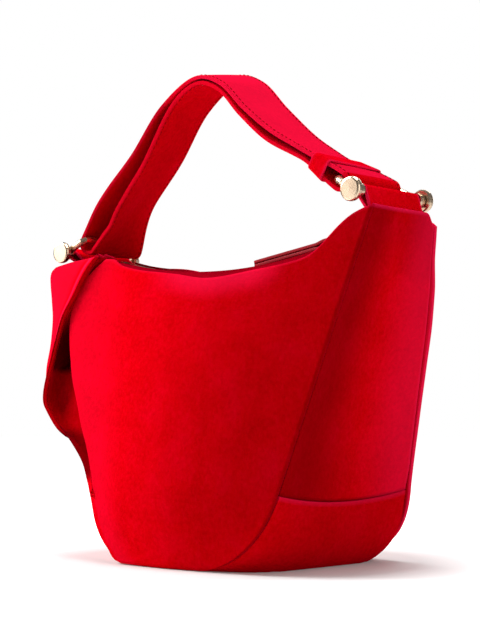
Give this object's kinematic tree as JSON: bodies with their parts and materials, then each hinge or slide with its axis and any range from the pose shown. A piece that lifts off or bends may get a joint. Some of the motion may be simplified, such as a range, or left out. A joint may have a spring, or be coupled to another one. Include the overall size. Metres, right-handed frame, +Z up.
{
  "type": "bucket bag",
  "caption": "Slouchy suede bucket bag with a curved top zip and a doubled wide strap handle held by pinned metal bows.",
  "frame": {"origin": "centre of the flat underside of the base, on the surface the bag stands on", "axes": "+Z up, +X along the bag toward its upright ear, -Y toward the front panel"},
  "size_m": [0.2715, 0.146, 0.3109],
  "materials": {
    "suede": "matt suede nap",
    "suede_facing": "matt suede nap",
    "stiffener": "matt",
    "lining_cloth": "woven cotton",
    "zip_tape": "woven tape",
    "pull_leather": "smooth leather",
    "gold_metal": "polished pale gold plate"
  },
  "bodies": {
    "bag_body": {"front_panel": "suede", "back_panel": "suede", "left_gusset": "suede", "right_gusset": "suede", "base_panel": "suede", "base_board": "stiffener", "lining": "lining_cloth", "zip_facing_front": "suede_facing", "zip_facing_back": "suede_facing", "zip_tape_front": "zip_tape", "zip_tape_back": "zip_tape", "zip_teeth_front": "gold_metal", "zip_teeth_back": "gold_metal", "zip_stop_left": "gold_metal", "zip_stop_right": "gold_metal"},
    "zip_slider_body": {"zip_slider": "gold_metal", "zip_slider_under": "gold_metal"},
    "zip_link_body": {"zip_pull_link": "gold_metal"},
    "zip_tab_body": {"zip_pull_tab": "pull_leather"},
    "handle_carrier": {"left_pin": "gold_metal", "left_front_knob": "gold_metal", "left_back_knob": "gold_metal", "left_tab": "suede", "right_pin": "gold_metal", "right_front_knob": "gold_metal", "right_back_knob": "gold_metal", "right_tab": "suede"},
    "left_bow_body": {"left_bow": "gold_metal"},
    "right_bow_body": {"right_bow": "gold_metal"},
    "handle_body": {"handle_strap": "suede", "strap_keeper": "suede"}
  },
  "joints": [
    {"name": "zip_slide", "type": "hinge", "parent": "bag_body", "child": "zip_slider_body", "pos_m": [-0.003, 0, 0.563], "axis": [0, 1, 0], "range_deg": [0, 28]},
    {"name": "zip_link_swing", "type": "hinge", "parent": "zip_slider_body", "child": "zip_link_body", "pos_m": [0.08682, 0, 0.19283], "axis": [0, 1, 0], "range_deg": [0, 120.4]},
    {"name": "zip_tab_swing", "type": "hinge", "parent": "zip_link_body", "child": "zip_tab_body", "pos_m": [0.07615, 0, 0.19017], "axis": [0, 1, 0], "range_deg": [0, 45]},
    {"name": "handle_tilt", "type": "hinge", "parent": "bag_body", "child": "handle_carrier", "pos_m": [-0.0035, 0, 0.1963], "axis": [0.9978, 0, 0.0668], "range_deg": [-4, 4]},
    {"name": "handle_sway", "type": "hinge", "parent": "handle_carrier", "child": "handle_body", "pos_m": [0.0079, 0, 0.2701], "axis": [0, 1, 0], "range_deg": [-2, 2]},
    {"name": "left_bow_swing", "type": "hinge", "parent": "handle_carrier", "child": "left_bow_body", "pos_m": [-0.1335, 0, 0.198], "axis": [-0.0698, 0.9976, 0], "range_deg": [-16.2, 16.2]},
    {"name": "right_bow_swing", "type": "hinge", "parent": "handle_carrier", "child": "right_bow_body", "pos_m": [0.116, 0, 0.215], "axis": [0, 1, 0], "range_deg": [-11.9, 11.9]}
  ],
  "couplings": [
    {"joint": "zip_link_swing", "follows": "zip_slide", "ratio": 4.286},
    {"joint": "left_bow_swing", "follows": "handle_sway", "ratio": -7.9},
    {"joint": "right_bow_swing", "follows": "handle_sway", "ratio": -5.87}
  ]
}
